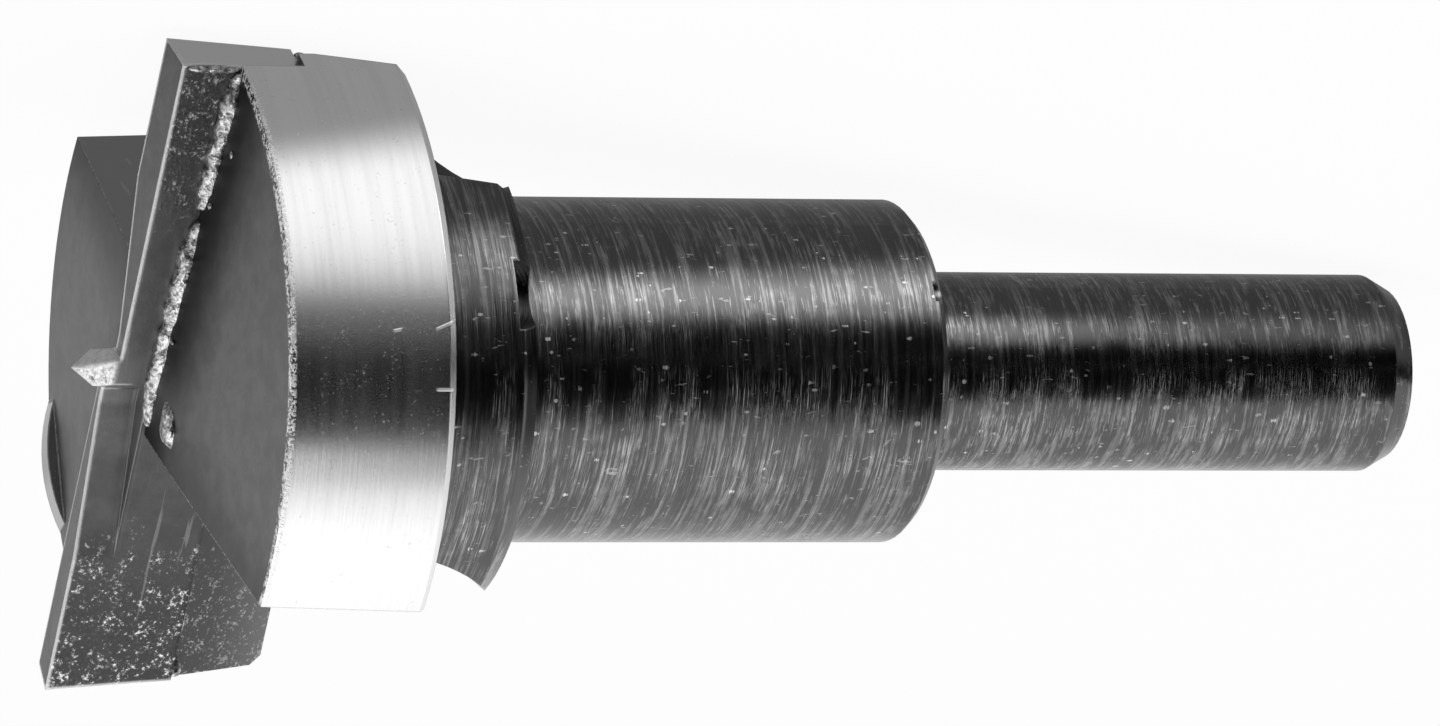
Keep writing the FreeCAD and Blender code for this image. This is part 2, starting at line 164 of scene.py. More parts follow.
FOOT_HEIGHTS = (26.0, 4.0)             # where the flag's foot lightens
FOOT_STATIONS = (-14.0, -22.0)

# How bright the cards are
CARD_BLACK = 0.004
CARD_DARK = 0.05
CARD_DUSK = 0.15
CARD_SHADE = 0.3                       # beneath the bit
CARD_BRIGHT = 1.1                      # before the bit
CARD_BRIGHTEST = 2.8                   # before the neck, whose black takes more light

# The studio, in metres and watts
RUNNER_BEHIND = 0.03                   # how far the runner reaches past the bit
RUNNER_LIFT = 0.0001
FLAG_LIFT = 0.001
LAMPS = (                              # name, place, width and power
    ("overhead_lamp", (0.0, 0.12, 0.45), 0.35, 0.5),
    ("side_lamp", (-0.35, 0.25, 0.35), 0.3, 0.35),
)
PAPER_TONE = 0.9
FLOOR_SEEN_WHITE = 0.94                # how much of the floor's own white the camera sees
FLOOR_MIRRORED_WHITE = 0.3             # and how much of it the metal mirrors
ROOM_LIGHT = 0.6


# Shader building

class Wire:
    """One value inside a material, so that shader maths reads as arithmetic."""

    def __init__(self, surface, socket):
        self.surface = surface
        self.socket = socket

    def maths(self, operation, *values, clamp=False):
        """The result of a Math node that works on the values."""
        settings = {"operation": operation, "use_clamp": clamp}
        return self.surface.node("ShaderNodeMath", settings, dict(enumerate(values)))

    def __add__(self, other):
        return self.maths("ADD", self, other)

    def __radd__(self, other):
        return self.maths("ADD", other, self)

    def __sub__(self, other):
        return self.maths("SUBTRACT", self, other)

    def __rsub__(self, other):
        return self.maths("SUBTRACT", other, self)

    def __mul__(self, other):
        return self.maths("MULTIPLY", self, other)

    def __rmul__(self, other):
        return self.maths("MULTIPLY", other, self)

    def __truediv__(self, other):
        return self.maths("DIVIDE", self, other)

    def __abs__(self):
        return self.maths("ABSOLUTE", self)

    def sign(self):
        """-1, 0 or 1."""
        return self.maths("SIGN", self)

    def either(self, other):
        """The larger of two masks."""
        return self.maths("MAXIMUM", self, other)

    def limited(self):
        """The value, held between 0 and 1."""
        return self.maths("ADD", self, 0.0, clamp=True)

    def ramp(self, start, end):
        """0 below start, 1 above end, and smooth between; start may lie above end."""
        settings = {"interpolation_type": "SMOOTHSTEP"}
        low, high, first, last = (start, end, 0.0, 1.0) if start < end else (end, start, 1.0, 0.0)
        sockets = {
            "Value": self, "From Min": low, "From Max": high, "To Min": first, "To Max": last,
        }
        return self.surface.node("ShaderNodeMapRange", settings, sockets)


class Surface:
    """The nodes of a material or of the world, in the making."""

    def __init__(self, owner):
        self.owner = owner
        owner.use_nodes = True
        self.tree = owner.node_tree
        self.tree.nodes.clear()

    def node(self, kind, settings=None, sockets=None, output=0):
        """Add a node, make its settings, fill or link its sockets, and return one output."""
        made = self.tree.nodes.new(kind)
        for name, value in (settings or {}).items():
            setattr(made, name, value)
        for key, value in (sockets or {}).items():
            if isinstance(value, Wire):
                self.tree.links.new(value.socket, made.inputs[key])
            else:
                made.inputs[key].default_value = value
        return Wire(self, made.outputs[output])

    def position(self):
        """The place on the surface in the bit's own frame, in millimetres."""
        spot = self.node("ShaderNodeTexCoord", output="Object")
        sockets = {
            "Vector": spot,
            "Location": TOOL_AXES @ ORIGIN * (-1 / MM),
            "Rotation": TOOL_AXES.to_euler(),
            "Scale": (1 / MM, 1 / MM, 1 / MM),
        }
        return self.node("ShaderNodeMapping", {"vector_type": "POINT"}, sockets)

    def scene_position(self):
        """The X, Y and Z of the place on the surface in the scene, in millimetres."""
        spot = self.node("ShaderNodeTexCoord", output="Object")
        return [part / MM for part in self.parts(spot)]

    def facing(self):
        """The flat surface's own direction in the bit's own frame."""
        normal = self.node("ShaderNodeNewGeometry", output="True Normal")
        sockets = {"Vector": normal, "Rotation": TOOL_AXES.to_euler()}
        return self.node("ShaderNodeMapping", {"vector_type": "VECTOR"}, sockets)

    def vector(self, x, y, z):
        return self.node("ShaderNodeCombineXYZ", None, {"X": x, "Y": y, "Z": z})

    def parts(self, vector):
        """The X, Y and Z of a vector."""
        split = self.node("ShaderNodeSeparateXYZ", None, {"Vector": vector})
        return [Wire(self, socket) for socket in split.socket.node.outputs]

    def length(self, vector):
        settings = {"operation": "LENGTH"}
        return self.node("ShaderNodeVectorMath", settings, {0: vector}, output="Value")

    def dot(self, one, other):
        settings = {"operation": "DOT_PRODUCT"}
        return self.node("ShaderNodeVectorMath", settings, {0: one, 1: other}, output="Value")

    def stretched(self, vector, scale):
        """A vector multiplied axis by axis."""
        return self.node("ShaderNodeVectorMath", {"operation": "MULTIPLY"}, {0: vector, 1: scale})

    def grain(self, vector, scale, detail=2.0, roughness=0.5):
        """Soft noise about 0.5."""
        sockets = {"Vector": vector, "Scale": scale, "Detail": detail, "Roughness": roughness}
        return self.node("ShaderNodeTexNoise", {"normalize": True}, sockets)

    def cells(self, vector, scale):
        """Distance to the nearest of many scattered points."""
        return self.node("ShaderNodeTexVoronoi", None, {"Vector": vector, "Scale": scale})

    def ray(self, kind):
        """1 for rays of one kind, such as Camera or Glossy, and 0 for the others."""
        return self.node("ShaderNodeLightPath", output="Is " + kind + " Ray")

    def blend(self, factor, under, over):
        """The colour under, covered by the colour over where factor is 1."""
        settings = {"data_type": "RGBA", "blend_type": "MIX"}
        return self.node("ShaderNodeMix", settings, {0: factor, 6: under, 7: over}, output=2)

    def coated(self, colour, coats):
        """A colour under coats, each given by where it covers and its own colour."""
        for cover, coat in coats:
            colour = self.blend(cover, colour, coat)
        return colour

    def bump(self, height, strength, depth_mm, normal=None):
        """The normal, tilted by a height."""
        sockets = {"Height": height, "Strength": strength, "Distance": depth_mm * MM}
        if normal is not None:
            sockets["Normal"] = normal
        return self.node("ShaderNodeBump", None, sockets)

    def worn_edges(self, reach_mm):
        """The normal softened over the edges, and how far each spot is on an edge."""
        soft = self.node("ShaderNodeBevel", {"samples": 6}, {"Radius": reach_mm * MM})
        flat = self.node("ShaderNodeNewGeometry", output="Normal")
        return soft, (1.0 - self.dot(soft, flat)).ramp(0.005, 0.14)

    def glow(self, colour):
        """A shader that shows a colour without any light."""
        return self.node("ShaderNodeEmission", None, {"Color": colour, "Strength": 1.0})

    def metal(self, colour, rough, relief):
        """Close the material with one metallic shader."""
        sockets = {"Base Color": colour, "Metallic": 1.0, "Roughness": rough, "Normal": relief}
        return self.close(self.node("ShaderNodeBsdfPrincipled", None, sockets))

    def close(self, shader, kind="ShaderNodeOutputMaterial"):
        """Show a shader on the surface, and return the material or world."""
        output = self.tree.nodes.new(kind)
        self.tree.links.new(shader.socket, output.inputs["Surface"])
        return self.owner


def grey(tone):
    """A neutral colour as a node socket takes it."""
    return (tone, tone, tone, 1.0)


def opaque(colour):
    """A colour setting as a node socket takes it."""
    return colour[:] + (1.0,)


# Materials
# A finish is a colour, a roughness and a height. Coats are listed from the lowest up.

class BodyMarks:
    """Where a spot lies on the body, and the grain and marks that its finishes share."""

    def __init__(self, steel, look):
        self.spot = steel.position()
        self.x, self.y, self.z = steel.parts(self.spot)
        radial = steel.vector(0.0, self.y, self.z)
        self.radius = steel.length(radial)
        self.turn = self.z.maths("ARCTAN2", self.y * -1.0, self.z)
        facing = steel.facing()
        self.flat_on = abs(steel.parts(facing)[0])
        outward = steel.dot(facing, radial) / self.radius
        self.soft_normal, self.edge = steel.worn_edges(look.edge_reach)

        # Zones
        ragged = steel.grain(self.spot, 1.6, 3.0) - 0.5
        self.on_wings = (self.x + ragged * 0.1).ramp(RIM_BACK + 0.25, RIM_BACK - 0.05)
        on_wall = outward.ramp(0.55, 0.68) * self.radius.ramp(WING_RADIUS - 1.4, WING_RADIUS - 0.9)
        self.on_spur = (self.radius * FACE_FALL + FACE_CENTRE - self.x).ramp(0.04, 0.1)
        self.on_rim = on_wall.either(self.on_spur) * self.on_wings

        # Lathe marks go round the axis, on the flat ends too
        self.around = self.wrapped(steel, (self.x + self.radius) * look.groove_pitch, 1.8)
        self.grooves = steel.grain(self.around, 1.0, 3.0, 0.6)
        self.fine = steel.grain(steel.stretched(self.around, (2.2, 2.6, 2.6)), 1.0, 2.0, 0.6)

        # Unevenness all over, from the widest to the finest
        self.patches = steel.grain(self.spot, 0.4, 3.0, 0.65)
        self.mottle = steel.grain(self.spot, 0.9, 4.0, 0.65)
        self.cloud = steel.grain(self.spot, 1.3, 3.0, 0.7)
        self.pits = steel.grain(self.spot, 7.0, 2.0, 0.7)

    def wrapped(self, steel, along, about):
        """Space for a pattern round the axis: how fast it changes along it, and about it."""
        return steel.vector(along, self.y / self.radius * about, self.z / self.radius * about)


def blackened_finish(steel, look, marks):
    """The collar, neck and shank: turned, blackened, rubbed lighter by handling, and given a
    painted shadow at the collar's back edge.
    """
    x, grooves, fine, patches = marks.x, marks.grooves, marks.fine, marks.patches
    uneven = (patches - 0.5) * 0.25 + (marks.cloud - 0.5) * 0.2
    rubbed = (grooves + uneven).ramp(0.47, 0.68)
    hairlines = (fine + uneven).ramp(0.6, 0.68)
    flecks = steel.cells(steel.stretched(marks.spot, (1.0, 2.4, 1.5)), 0.9) + (fine - 0.5) * 0.5
    flecks = flecks.ramp(0.13, 0.08) * patches.ramp(0.47, 0.55)
    scuffs = steel.grain(steel.stretched(marks.spot, (1.2, 3.0, 3.0)), 1.0, 2.0, 0.7)
    scuffs = scuffs.ramp(0.66, 0.74)
    # Painted shadow: near black on the collar's back chamfer and the first fifth of a millimetre of
    # the neck, over part of the way round, where the collar shades the neck.
    painted_collar_shadow = x.ramp(COLLAR_BACK - 1.15, COLLAR_BACK - 1.0)
    painted_collar_shadow = painted_collar_shadow * x.ramp(COLLAR_BACK + 0.2, COLLAR_BACK + 0.05)
    painted_collar_shadow = painted_collar_shadow * marks.radius.ramp(COLLAR_RADIUS - 0.05, COLLAR_RADIUS - 0.15)
    painted_collar_shadow = painted_collar_shadow * marks.turn.ramp(1.5, 1.2)
    colour = steel.coated(opaque(look.oxide), (
        (rubbed * 0.65, opaque(look.rubbed_oxide)),
        (hairlines * 0.35, grey(0.5)),
        (flecks * 0.8, grey(0.7)),
        (scuffs * 0.45, grey(0.55)),
        (marks.edge * patches.ramp(0.4, 0.6) * 0.6, grey(0.45)),
        (painted_collar_shadow * 0.9, grey(0.01)),
    ))
    rough = 0.16 + grooves * 0.12 + scuffs * 0.2 + flecks * 0.2
    bands = steel.grain(marks.wrapped(steel, x * 0.7, 0.8), 1.0, 1.0).ramp(0.4, 0.62)
    height = (grooves * 2.6 + fine * 3.0) * (bands * 1.1 + 0.3)
    return colour, rough, height


def satin_finish(steel, look, marks):
    """The wings' flat faces and notches: dull, with painted shade beside the blade and the notches,
    and painted light on the walls on the bit's +Y side.
    """
    y, z, mottle, pits = marks.y, marks.z, marks.mottle, marks.pits
    on_face = marks.x.ramp(3.5, 3.25) * marks.flat_on.ramp(0.5, 0.8)
    off_face = 1.0 - on_face
    ragged = (mottle - 0.5) * 0.8
    # Painted shade: the front faces darken to near black towards the blade and towards the edges
    # where they meet the notches, where those walls shade them.
    shade_beside_blade = (abs(y) + ragged).ramp(7.5, 2.2) * abs(z).ramp(-4.0, 3.0)
    slope, height = NOTCH_EDGE
    over_notch = z * y.sign() * -1.0 + abs(y) * slope + height
    shade_beside_notch = (over_notch + ragged).ramp(4.2, -0.6) * 0.6
    # Painted light: the wings' surfaces off the front faces, on the bit's +Y side only, are
    # lightened where the far wing's walls catch light.
    far_wall_painted_light = y.ramp(0.0, 2.0) * off_face
    brushed = steel.grain(steel.stretched(marks.spot, (2.2, 0.5, 2.2)), 1.0, 2.0, 0.6)
    brushed = brushed.ramp(0.64, 0.7) * off_face
    pepper = (pits + (marks.cloud - 0.5) * 0.8).ramp(0.6, 0.7)
    peppered = (abs(z) + (mottle - 0.5) * 8.0).ramp(9.5, 13.0) * off_face
    colour = steel.coated(opaque(look.wing_face), (
        (mottle.ramp(0.3, 0.7), grey(look.wing_face[0] * 1.35)),
        (pits.ramp(0.62, 0.78) * 0.3, grey(0.45)),
        (shade_beside_blade.either(shade_beside_notch) * on_face * 0.88, grey(0.012)),
        (off_face * 0.85, grey(0.07)),
        (far_wall_painted_light * 0.9, grey(0.32)),
        (brushed * 0.35, grey(0.5)),
        (pepper * peppered * 0.6, grey(0.5)),
        (marks.edge * pits.ramp(0.4, 0.6) * 0.8, grey(0.75)),
    ))
    return colour, 0.42 + mottle * 0.12, pits * 0.35 + mottle * 0.3


def ground_finish(steel, look, marks):
    """The wings' rims: ground bright, with fine specks."""
    smear = steel.grain(steel.stretched(marks.around, (0.5, 0.9, 0.9)), 1.0, 3.0, 0.6)
    speck = steel.grain(marks.spot, 6.5, 3.0, 0.8)
    rough_specks = (speck + (marks.cloud - 0.5) * 0.5).ramp(0.67, 0.8)
    dark_specks = (speck + (marks.cloud - 0.5) * 0.4).ramp(0.36, 0.28)
    colour = steel.coated(opaque(look.ground_rim), (
        (smear.ramp(0.35, 0.75) * 0.3, grey(0.66)),
        (dark_specks * 0.4, grey(0.3)),
        (marks.on_spur * 0.8, grey(0.3)),
    ))
    rough = 0.17 + smear * 0.14 + rough_specks * 0.3
    height = marks.fine * 0.25 + speck * 0.16 + rough_specks * 0.2
    return colour, rough, height


def raised_metal(marks):
    """Where the near rim's front edge is burred, and where scratches cross it."""
    x = marks.x
    at_front = x.ramp(RIM_FRONT + 0.3, RIM_FRONT + 0.1)
    at_edge = at_front * marks.radius.ramp(WING_RADIUS - 0.4, WING_RADIUS - 0.2)
    burr = (marks.pits + (marks.cloud - 0.5) * 0.6).ramp(0.46, 0.56)
    raised = at_edge * burr * marks.y.ramp(0.0, -1.0)
    for start, end, slope, crossing in RIM_SCRATCHES:
        along = x.ramp(start, start + 0.2) * x.ramp(end, end - 0.2)
        raised = raised + along * abs(marks.turn + x * slope - crossing).ramp(0.005, 0.002) * 0.8
    return raised.limited()


def body_material(look):
    """Blackened, turned steel, with the wings' rims ground bright and their faces left satin."""
    steel = Surface(bpy.data.materials.new("blackened_and_ground_steel"))
    marks = BodyMarks(steel, look)
    oxide, rough, turned = blackened_finish(steel, look, marks)
    satin, satin_rough, faced = satin_finish(steel, look, marks)
    ground, ground_rough, rimmed = ground_finish(steel, look, marks)
    raised = raised_metal(marks)
    on_wings, on_rim = marks.on_wings, marks.on_rim
    colour = steel.coated(oxide, ((on_wings, satin), (on_rim, ground), (raised, grey(0.95))))
    for cover, coat in ((on_wings, satin_rough), (on_rim, ground_rough), (raised, 0.55)):
        rough = rough + (coat - rough) * cover
    height = turned * (1.0 - on_wings) + faced * on_wings * (1.0 - on_rim) + rimmed * on_rim
    relief = steel.bump(height + raised * 2.0, 0.5, look.relief_depth, marks.soft_normal)
    return steel.metal(colour, rough, relief)


def carbide_material(look):
    """Ground carbide: satin grey, peppered with bright grains towards the cutting corners."""
    carbide = Surface(bpy.data.materials.new("ground_carbide"))
    spot = carbide.position()
    x, y, z = carbide.parts(spot)
    soft_normal, edge = carbide.worn_edges(look.edge_reach * 3.0)
    cloud = carbide.grain(spot, 0.6, 4.0, 0.7)
    blotch = carbide.grain(spot, 1.5, 3.0, 0.7)
    grains = carbide.grain(spot, 4.6, 4.0, 0.85)
    grit = carbide.grain(spot, 9.0, 1.0, 0.5)

    # Zones
    faces_axis, faces_lead, faces_end = [abs(part) for part in carbide.parts(carbide.facing())]
    on_wall = faces_lead.ramp(0.75, 0.9)
    on_end = faces_end.ramp(0.75, 0.9)
    on_ledge = faces_axis.ramp(0.8, 0.95) * x.ramp(1.2, 1.6)
    centre = abs(z).ramp(2.6, 1.4) * x.ramp(0.4, -0.2)
    rake = (y * z).ramp(0.0, 1.0) * on_wall * (abs(y).ramp(0.6, 0.95) * 0.25 + 0.25)
    peppered = (abs(z) + (cloud - 0.5) * 10.0 + (blotch - 0.5) * 7.0).ramp(8.5, 13.0) * on_wall
    rubbed = edge * x.ramp(1.4, 0.7).either(abs(z).ramp(16.6, 17.1))
    rubbed = rubbed * (grit + edge * 0.4).ramp(0.5, 0.66)

    # Marks
    uneven_grains = grains + (blotch - 0.5) * 0.5
    bright = uneven_grains.ramp(0.56, 0.68)
    dark = uneven_grains.ramp(0.48, 0.36)
    lines = carbide.grain(carbide.stretched(spot, (2.4, 2.4, 0.16)), 1.0, 2.0, 0.6)
    lines = lines.ramp(0.66, 0.72)

    colour = carbide.coated(opaque(look.carbide), (
        (cloud.ramp(0.3, 0.7), grey(look.carbide[0] * 1.3)),
        (rake, grey(0.015)),
        (on_end * 0.9, grey(0.85)),
        (on_ledge * 0.7, grey(0.4)),
        (peppered * 0.4, grey(0.04)),
        (dark * peppered * 0.75, grey(0.05)),
        (bright * peppered * 0.85, grey(0.85)),
        (lines * on_wall * 0.15, grey(0.6)),
        (rubbed, grey(0.95)),
        (centre * grains.ramp(0.3, 0.6) * 0.9, grey(0.9)),
    ))
    height = grains * peppered + grit * 0.3 + rubbed
    relief = carbide.bump(height, 0.6, look.relief_depth * 1.6, soft_normal)
    return carbide.metal(colour, 0.36 + grit * 0.16 + rubbed * 0.2, relief)


def braze_material(look):
    """Lumpy braze metal, bright where it has been brushed."""
    braze = Surface(bpy.data.materials.new("brushed_braze"))
    spot = braze.position()
    lumps = braze.grain(spot, 2.6, 3.0, 0.7)
    grit = braze.grain(spot, 5.0, 2.0, 0.6)
    colour = braze.coated(grey(0.2), (
        (lumps.ramp(0.36, 0.56), opaque(look.braze)),
        (grit.ramp(0.46, 0.36) * 0.6, grey(0.08)),
        (grit.ramp(0.54, 0.64) * 0.8, grey(0.95)),
    ))
    relief = braze.bump(lumps + grit * 1.2, 0.8, look.relief_depth * 3)
    return braze.metal(colour, 0.34, relief)


# Pieces

def dress(node, material):
    """Give a solid of the frame its finished material."""
    solid = frame["nodes"][node]
    solid.data.materials.clear()
    solid.data.materials.append(material)


def object_of(name, mesh, material):
    """Turn a bmesh into an object of the scene, and free it."""
    data = bpy.data.meshes.new(name)
    mesh.to_mesh(data)
    mesh.free()
    data.materials.append(material)
    made = bpy.data.objects.new(name, data)
    bpy.context.scene.collection.objects.link(made)
    return made


def finished_piece(name, mesh, material, rounds=1):
    """Turn millimetres in the bit's frame into a piece of the part, riding on the body."""
    bmesh.ops.transform(mesh, matrix=TO_SCENE, verts=mesh.verts)
    bmesh.ops.recalc_face_normals(mesh, faces=mesh.faces)
    for face in mesh.faces:
        face.smooth = True
    piece = object_of(name, mesh, material)
    if rounds:
        rounding = piece.modifiers.new("Rounding", "SUBSURF")
        rounding.levels = rounding.render_levels = rounds
    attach(piece, "root")


def roughen(mesh, reach, grain, seed):
    """Push each vertex in or out along its normal by smooth noise."""
    mesh.normal_update()
    for vert in mesh.verts:
        vert.co += vert.normal * reach * noise.noise(vert.co * grain + Vector((seed, 0, 0)))


def bead(start, end, radius, seed, stations=44, sides=10):
    """A run of braze from start to end: a ring drawn out station by station, then roughened."""
    mesh = bmesh.new()
    run = Vector(end) - Vector(start)
    size = radius * BEAD_TIP
    bmesh.ops.create_circle(mesh, segments=sides, radius=size)
    edges = list(mesh.edges)
    for station in range(1, stations + 1):
        share = station / stations
        from_end = min(share + BEAD_BLUNT, 1.0 + BEAD_BLUNT - share)
        taper = min(1.0, BEAD_TAPER * from_end) ** 0.5
        swell = 1.0 + BEAD_SWELL * noise.noise(Vector((share * BEAD_SWELLS, seed, 0)))
        wanted = radius * max(BEAD_THINNEST, taper * swell)
        drawn = bmesh.ops.extrude_edge_only(mesh, edges=edges)["geom"]
        ring = [part for part in drawn if isinstance(part, bmesh.types.BMVert)]
        drawn_edges = [part for part in drawn if isinstance(part, bmesh.types.BMEdge)]
        edges = [edge for edge in drawn_edges if all(vert in ring for vert in edge.verts)]
        bmesh.ops.translate(mesh, verts=ring, vec=(0, 0, run.length / stations))
        bmesh.ops.scale(mesh, verts=ring, vec=(wanted / size, wanted / size, 1))
        size = wanted
    bmesh.ops.holes_fill(mesh, edges=mesh.edges, sides=sides)
    roughen(mesh, radius * BEAD_ROUGHNESS, BEAD_GRAIN, seed)
    turn = run.to_track_quat("Z", "X").to_matrix().to_4x4()
    bmesh.ops.transform(mesh, matrix=Matrix.Translation(start) @ turn, verts=mesh.verts)
    return mesh


def drop(centre, size, shape, lean, seed):
    """A blob of braze: a ball drawn to one side, roughened, and pressed flat against the face."""
    mesh = bmesh.new()
    bmesh.ops.create_icosphere(mesh, subdivisions=3, radius=1.0)
    for vert in mesh.verts:
        vert.co.z *= 1.0 + DROP_PULL * max(0.0, vert.co.z)
    roughen(mesh, DROP_ROUGHNESS, DROP_GRAIN, seed)
    bmesh.ops.scale(mesh, verts=mesh.verts, vec=tuple(size * share for share in shape))
    turn = Matrix.Rotation(lean, 4, "X")
    bmesh.ops.transform(mesh, matrix=Matrix.Translation(centre) @ turn, verts=mesh.verts)
    return mesh


def face_station(radius):
    """Where the wings' front face lies along the axis at a radius."""
    return FACE_CENTRE + FACE_FALL * radius


# Settings that a user would change

def shade(name, description, tone):
    """A colour setting that starts as a neutral grey."""
    return FloatVectorProperty(
        name=name, description=description, subtype="COLOR", size=3, min=0.0, max=1.0,
        default=(tone, tone, tone))


class BitLook(PropertyGroup):
    """Colours and fine sizes of the bit's surfaces."""

    oxide: shade("Oxide", "Colour of the blackened, turned steel", 0.105)
    rubbed_oxide: shade("Rubbed Oxide", "Colour where handling has thinned the black", 0.3)
    ground_rim: shade("Ground Rim", "Colour of the wings' ground rims", 0.88)
    wing_face: shade("Wing Face", "Colour of the wings' flat faces", 0.14)
    carbide: shade("Carbide", "Colour of the cutting plate", 0.118)
    braze: shade("Braze", "Colour of the braze metal", 0.6)
    groove_pitch: FloatProperty(
        name="Groove Pitch", description="Lathe marks per millimetre of length",
        default=5.0, min=0.1)
    edge_reach: FloatProperty(
        name="Edge Reach", description="Softened width beside each edge, in millimetres",
        default=0.12, min=0.01)
    relief_depth: FloatProperty(
        name="Relief Depth", description="Depth of the finest marks, in millimetres",
        default=0.02, min=0.0)


class BrazeSizes(PropertyGroup):
    """Sizes of the braze beads, in millimetres."""

    bead_radius: FloatProperty(
        name="Bead Radius", description="Half width of a seam beside the blade, in millimetres",
        default=0.52, min=0.05)
    bead_break: FloatProperty(
        name="Break", description="Reach at which the seam is broken, in millimetres",
        default=9.2, min=1.0)
    drop_size: FloatProperty(
        name="Drop Size", description="Half width of the pool beside the centre, in millimetres",
        default=0.95, min=0.1)
    splatters: IntProperty(
        name="Splatters", description="How many small beads lie beside the seams",
        default=9, min=0)


class StudioSizes(PropertyGroup):
    """The studio round the bit, in metres."""

    floor_size: FloatProperty(
        name="Floor Size", description="Width of the floor", default=6.0, unit="LENGTH")
    flag_distance: FloatProperty(
        name="Flag Distance", description="From the bit to the flag", default=0.12, unit="LENGTH")
    flag_height: FloatProperty(
        name="Flag Height", description="Height of the flag, its white part included",
        default=0.2, unit="LENGTH")
    flag_width: FloatProperty(
        name="Flag Width", description="Width of the flag and of the runner",
        default=0.6, unit="LENGTH")


# Operators

class FinishBody(Operator):
    """Give the steel body its blackened, ground and satin surfaces"""

    bl_idname = "boring_bit.finish_body"
    bl_label = "Finish Steel Body"

    def execute(self, context):
        dress("steel_body", body_material(context.scene.boring_bit_look))
        return {"FINISHED"}


class FinishCutter(Operator):
    """Give the cutting plate its ground, speckled surface"""

    bl_idname = "boring_bit.finish_cutter"
    bl_label = "Finish Cutting Plate"

    def execute(self, context):
        dress("cutter_plate", carbide_material(context.scene.boring_bit_look))
        return {"FINISHED"}


class AddBraze(Operator):
    """Add the braze seams along the blades, the pool beside the centre and the splatters"""

    bl_idname = "boring_bit.add_braze"
    bl_label = "Add Braze"

    def execute(self, context):
        sizes = context.scene.boring_bit_braze
        material = braze_material(context.scene.boring_bit_look)
        for name, side in (("first", 1), ("second", -1)):
            self.trailing_seams(sizes, material, name, side)
            self.notch_seam(sizes, material, name, side)
            self.end_seam(sizes, material, name, side)
            self.heel_fill(sizes, material, name, side)
        self.pool(sizes, material)
        self.scatter(sizes, material)
        return {"FINISHED"}

    def trailing_seams(self, sizes, material, name, side):
        """The seam behind a blade, in two lengths with a break between them."""
        innermost, outermost = SEAM_REACH
        lengths = (
            ("inner", innermost, sizes.bead_break - SEAM_BREAK_HALF),
            ("outer", sizes.bead_break + SEAM_BREAK_HALF, outermost),
        )
        behind = -(BLADE_HALF + SEAM_GAP) * side
        for (part, inner, outer), fullness in zip(lengths, SEAM_FULLNESS):
            ends = [(face_station(abs(reach)), behind, reach * side) for reach in (inner, outer)]
            mesh = bead(*ends, sizes.bead_radius * fullness, seed=3.0 + side + outer)
            finished_piece("braze_" + part + "_seam_" + name, mesh, material)

    def notch_seam(self, sizes, material, name, side):
        """The thinner seam where a notch's floor meets the blade."""
        station, ahead = NOTCH_SEAM
        ends = [(station, ahead * side, reach * side) for reach in NOTCH_REACH]
        mesh = bead(*ends, sizes.bead_radius * NOTCH_FULLNESS, seed=8.0 + side)
        finished_piece("braze_notch_seam_" + name, mesh, material)

    def end_seam(self, sizes, material, name, side):
        """The thin run along a blade's outer end, from its edge to the seam behind it."""
        behind = -(BLADE_HALF + END_GAP) * side
        ends = [(station, behind, END_REACH * side) for station in END_STATIONS]
        mesh = bead(*ends, sizes.bead_radius * END_FULLNESS, seed=15.0 + side, stations=16)
        finished_piece("braze_end_seam_" + name, mesh, material)

    def heel_fill(self, sizes, material, name, side):
        """The short run that fills the nick between the blade's heel and the rim."""
        ends = [(HEEL_STATION, y * side, HEEL_REACH * side) for y in (-HEEL_HALF, HEEL_HALF)]
        mesh = bead(*ends, sizes.bead_radius * HEEL_FULLNESS, seed=12.0 + side)
        finished_piece("braze_heel_" + name, mesh, material)

    def pool(self, sizes, material):
        """The pool beside the centre, on one wing alone."""
        centre = (face_station(POOL_RADIUS) + POOL_PROUD, *POOL_MIDDLE)
        mesh = drop(centre, sizes.drop_size, POOL_SHAPE, POOL_LEAN, seed=2.0)
        finished_piece("braze_pool", mesh, material)

    def scatter(self, sizes, material):
        """Small beads beside the seams, on the two wings by turns."""
        measures = ((SPLATTER_REACH, 1.0), (SPLATTER_GAP, 3.7), (SPLATTER_SIZE, 2.3))
        for count in range(sizes.splatters):
            side = 1 if count % 2 else -1
            reach, gap, size = [
                least + more * ((count * GOLDEN * pace) % 1.0) for (least, more), pace in measures
            ]
            centre = (face_station(reach), -(BLADE_HALF + gap) * side, reach * side)
            mesh = drop(centre, size, SPLATTER_SHAPE, lean=count, seed=5.0 + count)
            finished_piece("braze_splatter_" + str(count + 1), mesh, material, rounds=0)


